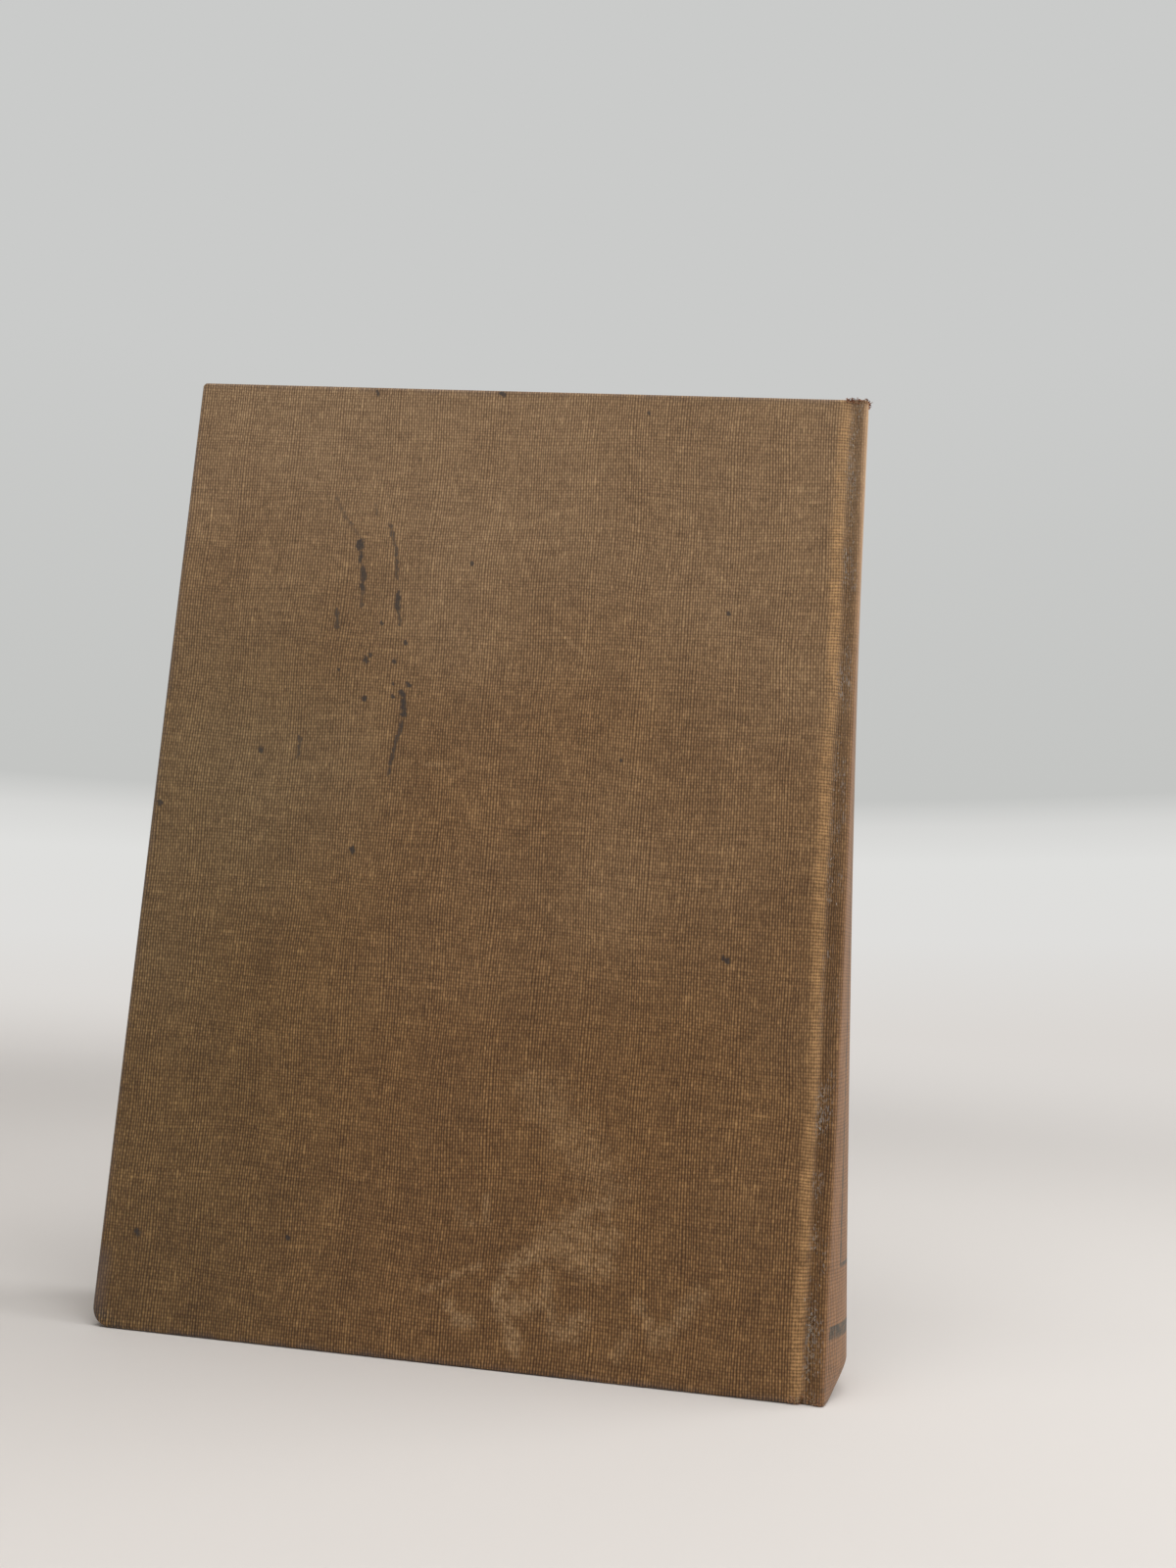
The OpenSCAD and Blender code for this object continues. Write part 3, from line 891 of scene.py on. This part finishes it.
def browns(sh):
    """The lower part is an orange brown, and the upper part has faded to olive. Its paler top and darker foot
    are also partly painted light from above.
    """
    # The fade rises up the cover: real fading to olive, and partly painted light, paler at the top and darker at
    # the foot.
    fade_and_top_light = sh.plus(sh.wave(45 * MM, 0.30, 71, detail=1), sh.scaled(sh.v, 4.2, -0.12))
    fade_and_top_light = sh.fit(fade_and_top_light, 0.0, 0.85)
    colour = sh.mix(fade_and_top_light, sh.ramp(sh.value, WORN_SHADED_BROWNS), sh.ramp(sh.value, FADED_LIT_BROWNS))
    fore = sh.times(sh.fall(sh.u, -150 * MM, -90 * MM), sh.fit(sh.v, 110 * MM, 180 * MM, 1, 0.1))
    return sh.mix(fore, colour, sh.mix(1.0, colour, FORE_TINT, "MULTIPLY"))


def rubbed_spine(sh, colour):
    """The spine's cloth is rubbed smooth and pinker, and paler towards the head."""
    sh.spine = sh.fall(sh.half, SPINE_ARC - 0.6 * MM, SPINE_ARC + 1.6 * MM)
    streak = sh.streaks(0.3 * MM, 9 * MM, 81, 3)
    weave = sh.scaled(sh.plus(sh.value, -0.55), 0.45, streak)
    rungs = sh.scaled(sh.weft, 0.22, sh.plus(weave, -0.12))
    tan = sh.mix(sh.fit(rungs, 0.25, 0.8), SPINE_DARK, SPINE_TAN)
    tan = sh.mix(sh.fit(sh.v, 125 * MM, 195 * MM, 0, 0.68), tan, SPINE_HEAD)
    return sh.mix(sh.times(sh.spine, 0.8), colour, tan)


def dark_joint(sh, colour):
    """The joint is darker, with grey fibres."""
    start = sh.fit(sh.half, JOINT_ARC - 3.2 * MM, JOINT_ARC - 2 * MM)
    valley = sh.times(start, sh.fall(sh.half, JOINT_ARC + 0.8 * MM, JOINT_ARC + 2 * MM))
    dark = sh.mix(1.0, colour, JOINT_TINT, "MULTIPLY")
    colour = sh.mix(sh.times(valley, 0.25), colour, dark)
    hair = sh.fit(sh.streaks(0.28 * MM, 0.9 * MM, 91, 1), 0.56, 0.66)
    hair = sh.times(hair, sh.fit(sh.streaks(6 * MM, 11 * MM, 95, 1), 0.46, 0.6))
    return sh.mix(sh.times(hair, valley, 0.5), colour, FIBRE)


def within(sh, value, edge, soft):
    return sh.fall(value, edge - soft, edge + soft)


def line(sh, value, low, high):
    return sh.times(sh.fit(value, low - SOFT, low + SOFT), within(sh, value, high, SOFT))


def stamped(sh, colour):
    """Dark rules stamped on the spine: a long frame and a bar across the tail, with smudges below."""
    across = sh.plus(sh.half, sh.wave(1.2 * MM, 0.15 * MM, 101))
    level = sh.plus(sh.v, sh.wave(1.2 * MM, 0.15 * MM, 105))
    posts = sh.times(line(sh, across, FRAME_HALF - RULE, FRAME_HALF), line(sh, level, FRAME_FOOT, FRAME_HEAD))
    foot = line(sh, level, FRAME_FOOT, FRAME_FOOT + RULE)
    beams = sh.math("MAXIMUM", foot, line(sh, level, FRAME_HEAD - RULE, FRAME_HEAD))
    beams = sh.times(beams, within(sh, across, FRAME_HALF, SOFT_END))
    bar = sh.times(line(sh, level, BAR_FOOT, BAR_HEAD), within(sh, across, BAR_HALF, SOFT_END))
    stamp = sh.math("MAXIMUM", bar, sh.math("MAXIMUM", posts, beams))
    worn = sh.streaks(1.5 * MM, 1.5 * MM, 111, 3)
    stamp = sh.times(stamp, sh.fit(sh.scaled(sh.value, 0.12, worn), 0.45, 0.75, 0.92, 0.5))
    colour = sh.mix(stamp, colour, STAMP)
    smudge = sh.times(sh.fall(sh.v, 2 * MM, 11 * MM), sh.fit(worn, 0.52, 0.66), sh.spine, 0.6)
    return sh.mix(smudge, colour, STAMP)


def scuffed(sh, colour):
    """Scuffs bare the pale tops of the threads. The pale band along the ridge is partly rubbed cloth and partly
    a painted highlight.
    """
    top = sh.scaled(sh.fit(sh.value, 0.45, 0.95), 0.75, 0.25)
    speck = sh.times(top, sh.math("MULTIPLY_ADD", sh.wave(0.7 * MM, 1.0, 121), 2.2, 0.85, clamp=True))
    colour = sh.mix(sh.times(sh.attribute("scuff"), speck), colour, SCUFF)
    rung = sh.fit(sh.plus(sh.weft, sh.fuzz), 0.5, 1.1)
    return sh.mix(sh.times(sh.attribute("rub_and_highlight"), sh.scaled(rung, 0.7, 0.3), 0.95), colour, RUBBED_AND_HIGHLIT)


def soiled(sh, colour):
    """Soil sits in the holes first."""
    soil = sh.attribute("soil")
    low = sh.fit(sh.math("SUBTRACT", soil, sh.value), -0.55, 0.3)
    colour = sh.mix(sh.times(low, sh.fit(soil, 0.02, 0.3)), colour, SOIL)
    return sh.mix(sh.times(sh.attribute("grey"), 0.6), colour, GREY_SOIL)


def inked(sh, colour):
    """Ink lies on the threads it touched."""
    mark = sh.attribute("ink")
    ink = sh.scaled(sh.plus(sh.value, -0.6), 0.9, mark)
    ink = sh.times(sh.fit(sh.scaled(sh.fuzz, 0.7, ink), 0.25, 0.95), sh.fit(mark, 0.1, 0.5))
    return sh.mix(sh.times(ink, 0.8), colour, INK)


def cloth_material():
    sh = Cloth()
    weave(sh)
    colour = browns(sh)
    for layer in (rubbed_spine, dark_joint, stamped, scuffed, soiled, inked):
        colour = layer(sh, colour)
    colour = sh.mix(sh.times(sh.attribute("inside"), 0.35), colour, TURNED_IN)
    rough = sh.fit(sh.attribute("soil"), 0, 1, 0.9, 0.7)
    return sh.finish(colour, sh.scaled(sh.fuzz, 0.3, sh.height), 0.14 * MM, rough)


PAGE_TONES = ((0.3, (132, 106, 74)), (0.5, (186, 159, 118)), (0.7, (220, 198, 158)))
BOARD_TONES = ((0.32, (92, 76, 56)), (0.5, (146, 126, 98)), (0.7, (184, 166, 136)))
THREAD_TONES = (
    (0.0, (96, 52, 34)), (0.2, (142, 84, 52)), (0.45, (190, 138, 92)), (0.7, (180, 156, 120)),
    (0.85, (168, 158, 142)), (1.0, (206, 200, 188)),
)
GAUZE_ACROSS = 1.1 * MM
GAUZE_ALONG = 1.0 * MM
BEAD = 3.0 * MM
STRAND = 0.5 * MM


def page_material():
    """The edges of the leaves: fine lines along them, toned brown by age, with a little grime."""
    sh = Shading("pages", 0.92)
    x, _, z = sh.split(sh.place())
    leaf = sh.attribute("leaf")
    fine = sh.noise(sh.join(sh.times(leaf, 190), sh.times(x, 45), sh.times(z, 45)), 2)
    gather = sh.noise(sh.join(sh.times(leaf, 13), sh.times(x, 6), sh.times(z, 6)), 3)
    colour = sh.ramp(sh.scaled(fine, 0.8, sh.times(gather, 0.2)), PAGE_TONES)
    colour = sh.mix(sh.fit(sh.specks(60, 5, 4), 0.52, 0.75, 0, 0.5), colour, (122, 92, 60))
    colour = sh.mix(sh.fit(sh.specks(420, 15, 1), 0.70, 0.78, 0, 0.6), colour, (110, 74, 42))
    return sh.finish(colour, fine, 0.15 * MM)


def sheet_material(name, pale, dark, fox, seed):
    """Old paper: fine fibres, soft clouds of tone and rusty spots."""
    sh = Shading(name, 0.9)
    cloud = sh.specks(22, seed, 4)
    fibre = sh.grain(sh.place(), 3200, 3200, 1400, seed + 3, 3)
    value = sh.scaled(fibre, 0.35, sh.times(cloud, 0.65))
    colour = sh.mix(sh.fit(value, 0.30, 0.62), dark, pale)
    colour = sh.mix(sh.fit(sh.specks(330, seed + 7, 2), 0.68, 0.80, 0, 0.55), colour, fox)
    x, _, z = sh.split(sh.place())
    end = sh.math("MINIMUM", z, sh.math("SUBTRACT", HEIGHT, z))
    rim = sh.scaled(cloud, 6 * MM, sh.math("MINIMUM", end, sh.plus(x, -FORE_X)))
    colour = sh.mix(sh.fit(rim, 5 * MM, 13 * MM, 0.45, 0), colour, fox)
    return sh.finish(colour, fibre, 0.012 * MM)


def board_material():
    """Millboard: grey-brown pulp with darker and paler specks."""
    sh = Shading("board", 0.93)
    pulp = sh.specks(900, 21, 4)
    layers = sh.grain(sh.place(), 60, 5200, 60, 23, 2)
    value = sh.scaled(layers, 0.4, sh.times(pulp, 0.6))
    return sh.finish(sh.ramp(value, BOARD_TONES), value, 0.08 * MM)


def gauze_material():
    """Open plain weave stiffened with glue, which fills its holes with amber."""
    sh = Shading("gauze", 0.85)
    x, y, z = sh.split(sh.place())
    across = sh.thread(sh.times(sh.plus(x, y), math.pi / GAUZE_ACROSS))
    along = sh.thread(sh.times(z, math.pi / GAUZE_ALONG))
    net = sh.math("MAXIMUM", sh.fit(across, 0.55, 0.9), sh.fit(along, 0.55, 0.9))
    fluff = sh.specks(1500, 31, 3)
    colour = sh.mix(net, (140, 100, 58), sh.mix(fluff, (168, 148, 116), (222, 208, 180)))
    return sh.finish(colour, sh.scaled(fluff, 0.3, net), 0.15 * MM)


def band_material():
    """Beads of two threads, faded red and cream, wound side by side."""
    sh = Shading("band_thread", 0.6, 0.3)
    _, y, z = sh.split(sh.place())
    turn = sh.scaled(z, 0.35, y)
    bead = sh.math("SINE", sh.times(turn, 2 * math.pi / BEAD))
    strand = sh.thread(sh.times(turn, math.pi / STRAND))
    colour = sh.mix(sh.fit(bead, -0.15, 0.15), (140, 54, 42), (206, 184, 146))
    # Painted shade in the grooves between the strands.
    colour = sh.mix(sh.fit(strand, 0.0, 0.5, 0.6, 0), colour, (70, 44, 32))
    return sh.finish(colour, strand, 0.12 * MM)


def thread_material():
    """Loose ends of thread, each of its own brown."""
    sh = Shading("loose_thread", 0.9, 0.2)
    fine = sh.specks(3000, 41, 2)
    colour = sh.ramp(sh.attribute("tone"), THREAD_TONES)
    colour = sh.mix(sh.fit(fine, 0.3, 0.7, 0.0, 0.45), colour, (84, 56, 38))
    return sh.finish(colour, fine, 0.03 * MM)


def dress(material, *pieces):
    for piece in pieces:
        piece.data.materials.clear()
        piece.data.materials.append(material)


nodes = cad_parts
endpapers = [nodes[side + kind] for side in ("front", "back") for kind in ("_free_endpaper", "_pastedown")]
endpaper = sheet_material("endpaper", (228, 213, 182), (208, 187, 150), (160, 122, 80), 3)
dress(cloth_material(), back_half, front_half)
dress(page_material(), pages)
dress(endpaper, *hinges, *endpapers)
dress(sheet_material("lining_paper", (176, 146, 106), (142, 112, 76), (98, 70, 44), 13), lining)
dress(board_material(), inlay, nodes["front_board"], nodes["back_board"])
dress(gauze_material(), gauze, nodes["front_gauze_flap"], nodes["back_gauze_flap"])
dress(band_material(), head_band, tail_band)

# Loose threads: the torn cap at the head, fluff along the joint, a few ends at the tail.
# Fluff is given as two heights in millimetres and how many fibres lie between them.
CAP_THREADS = 420
FLUFF = ((4, 20, 120), (20, 40, 28), (48, 60, 44), (95, 128, 60), (128, 165, 48), (165, 200, 120))
TAIL_THREADS = 90
TUBE_CORNERS = (0, 2.094, 4.189)


def on_joint(path, x, z, side):
    """A place on the outer face of the cloth near the joint, for the depth that the path has at x."""
    k = int(np.argmin(np.abs(path[:, 0] - x) + (path[:, 1] < 6 * MM)))
    px, py = path[k]
    py = py + float(joint_fill(px, py, z))
    return Vector((px + float(spine_shift(px, py, z)), side * py, z))


def fibre(made, points, radius, tone):
    """A closed three-sided tube along the points, thinner at both ends."""
    mesh, tones = made
    rings = []
    for k, point in enumerate(points):
        way = (points[min(k + 1, len(points) - 1)] - points[max(k - 1, 0)]).normalized()
        one = way.orthogonal().normalized()
        two = way.cross(one)
        r = radius * (0.5 if k in (0, len(points) - 1) else 1.0)
        corners = [point + r * (math.cos(a) * one + math.sin(a) * two) for a in TUBE_CORNERS]
        rings.append([mesh.verts.new(corner) for corner in corners])
        for vertex in rings[-1]:
            vertex[tones] = tone
    for low, high in zip(rings, rings[1:]):
        for k in range(3):
            mesh.faces.new((low[k], low[(k + 1) % 3], high[(k + 1) % 3], high[k]))
    mesh.faces.new(rings[0][::-1])
    mesh.faces.new(rings[-1])


def wander(start, rng, length, steps, pull, spread):
    """Points of a short thread that sets out from start along pull and strays."""
    points = [Vector(start)]
    way = Vector(pull)
    for _ in range(steps):
        way = (way + Vector(rng.normal(size=3)) * spread).normalized()
        points.append(points[-1] + way * length / steps)
    return points


def torn_cap(made, path, side, rng):
    for _ in range(CAP_THREADS):
        x = rng.uniform(BOARD_X - 0.3 * MM, ROUND_X + 1.8 * MM)
        start = on_joint(path, x, HEIGHT - rng.uniform(0.2, 0.7) * MM, side)
        start.y -= side * rng.uniform(0.0, 1.6) * MM
        points = wander(start, rng, rng.uniform(0.5, 1.1) * MM, 4, (rng.uniform(-1, 1), 0, 0.35), 0.8)
        for point in points:
            point.z = min(point.z, HEIGHT + rng.uniform(0.2, 0.5) * MM)
        fibre(made, points, rng.uniform(0.07, 0.13) * MM, rng.uniform(0.0, 0.42))


def joint_fluff(made, path, side, rng):
    for low, high, count in FLUFF:
        for _ in range(count):
            z = rng.uniform(low, high) * MM
            x = GROOVE_X + rng.normal() * 0.6 * MM
            start = on_joint(path, x, z, side)
            start.y += side * 0.04 * MM
            length = rng.uniform(0.25, 0.7) * MM
            points = wander(start, rng, length, 3, (0.3, side * 0.03, rng.choice((-1.0, 1.0))), 0.2)
            fibre(made, points, rng.uniform(0.045, 0.075) * MM, rng.uniform(0.72, 1.0))


def tail_ends(made, path, side, rng):
    for _ in range(TAIL_THREADS):
        x = rng.uniform(BOARD_X - 2.5 * MM, ROUND_X + 1 * MM)
        start = on_joint(path, x, rng.uniform(0.3, 1.6) * MM, side)
        points = wander(start, rng, rng.uniform(0.3, 0.9) * MM, 3, (0.5, side * 0.2, 0.0), 0.6)
        for point in points:
            point.z = max(point.z, 0.15 * MM)
        fibre(made, points, rng.uniform(0.05, 0.09) * MM, rng.uniform(0.3, 0.75))


def loose_threads(name, side, seed):
    rng = np.random.default_rng(seed)
    path = lay_path()[0]
    mesh = bmesh.new()
    made = mesh, mesh.verts.layers.float.new("tone")
    for kind in (torn_cap, joint_fluff, tail_ends):
        kind(made, path, side, rng)
    bmesh.ops.recalc_face_normals(mesh, faces=mesh.faces)
    piece = from_bmesh(name, mesh)
    dress(thread_material(), piece)
    return piece


back_threads = loose_threads("back_loose_threads", -1, 301)
front_threads = loose_threads("front_loose_threads", 1, 302)

for piece, side in ((back_half, -1), (back_threads, -1), (front_half, 1), (front_threads, 1)):
    across_joint(piece, side)
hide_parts("back_cloth", "spine_cloth")
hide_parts("front_cloth", "spine_cloth")


# Floor, backdrop and lamps
FLOOR = (218, 214, 210)
BACK_RAMP = 1.2
BACK_LEAN = 0.068
# Colours of the sweep by height, as painted light: a bright band near the floor and a greyer wall above.
BACKDROP_PAINTED_LIGHT = (
    (0.02, (219, 215, 211)), (0.09, (223, 222, 220)), (0.17, (223, 223, 221)),
    (0.215, (214, 214, 212)), (0.25, (196, 197, 195)), (0.95, (202, 203, 202)),
)
STAGE_TURNS = 96
STAGE_FLAT = 0.55
STAGE_SWEEP = 1.5
STAGE_WALL = 2.6
WORLD_STRENGTH = 0.5


def stage_material():
    """The floor takes light and shadow. Further out the sweep shows the camera a glow of its own, graded by
    height as painted light: brightest near the floor and greyer up the wall.
    """
    sh = Shading("floor", 0.95)
    x, y, z = sh.split(sh.place())
    away = sh.math("SQRT", sh.plus(sh.times(x, x), sh.times(y, y)))
    sh.finish(FLOOR)
    rays = sh.new("LightPath").outputs
    mirrored = sh.math("MAXIMUM", rays["Is Glossy Ray"], rays["Is Transmission Ray"])
    seen = sh.math("MAXIMUM", rays["Is Camera Ray"], mirrored)
    lean = sh.times(x, sh.fit(y, 0.0, 0.8, 0.0, -BACK_LEAN))
    colour = sh.ramp(sh.math("DIVIDE", sh.plus(z, lean), BACK_RAMP), BACKDROP_PAINTED_LIGHT)
    glow = sh.fill(sh.new("Emission"), colour)
    own = sh.times(seen, sh.fit(away, 0.30, 0.85))
    both = sh.fill(sh.new("MixShader"), own, sh.surface.outputs[0], glow)
    sh.put(sh.tree.nodes["Material Output"].inputs[0], both)
    return sh.material


def make_stage():
    """A pale plain floor that sweeps up into a round backdrop, the same from every side."""
    line = [(STAGE_FLAT * k / 4, 0.0) for k in range(1, 5)]
    for a in np.linspace(0, math.pi / 2, 33)[1:]:
        line.append((STAGE_FLAT + STAGE_SWEEP * math.sin(a), STAGE_SWEEP * (1 - math.cos(a))))
    line.append((STAGE_FLAT + STAGE_SWEEP, STAGE_WALL))
    angles = [2 * math.pi * k / STAGE_TURNS for k in range(STAGE_TURNS)]
    mesh = bmesh.new()
    hub = mesh.verts.new((0, 0, 0))
    rings = [[mesh.verts.new((r * math.cos(t), r * math.sin(t), z)) for t in angles] for r, z in line]
    for k in range(STAGE_TURNS):
        mesh.faces.new((hub, rings[0][k], rings[0][(k + 1) % STAGE_TURNS]))
    for low, high in zip(rings, rings[1:]):
        for k in range(STAGE_TURNS):
            after = (k + 1) % STAGE_TURNS
            mesh.faces.new((low[k], high[k], high[after], low[after]))
    floor = from_bmesh("floor", mesh)
    floor.data.polygons.foreach_set("use_smooth", np.ones(len(floor.data.polygons), bool))
    dress(stage_material(), floor)


def area_lamp(name, place, target, size, power):
    data = bpy.data.lights.new(name, "AREA")
    data.shape = "RECTANGLE"
    data.size, data.size_y = size
    data.energy = power
    lamp = add_object(name, data)
    lamp.location = Vector(place)
    lamp.rotation_mode = "QUATERNION"
    lamp.rotation_quaternion = (Vector(target) - Vector(place)).to_track_quat("-Z", "Y")


def make_lights():
    world = bpy.data.worlds.new("world")
    world.use_nodes = True
    background = world.node_tree.nodes["Background"]
    background.inputs["Color"].default_value = (1, 1, 1, 1)
    background.inputs["Strength"].default_value = WORLD_STRENGTH
    bpy.context.scene.world = world
    area_lamp("key", (0.05, -0.30, 0.75), (0, 0, 0.10), (0.6, 0.4), 3.4)
    area_lamp("fill", (0.75, 0.1, 0.65), (0, 0, 0.08), (0.7, 0.7), 5)


make_stage()
make_lights()
bpy.context.scene.view_settings.view_transform = "Standard"
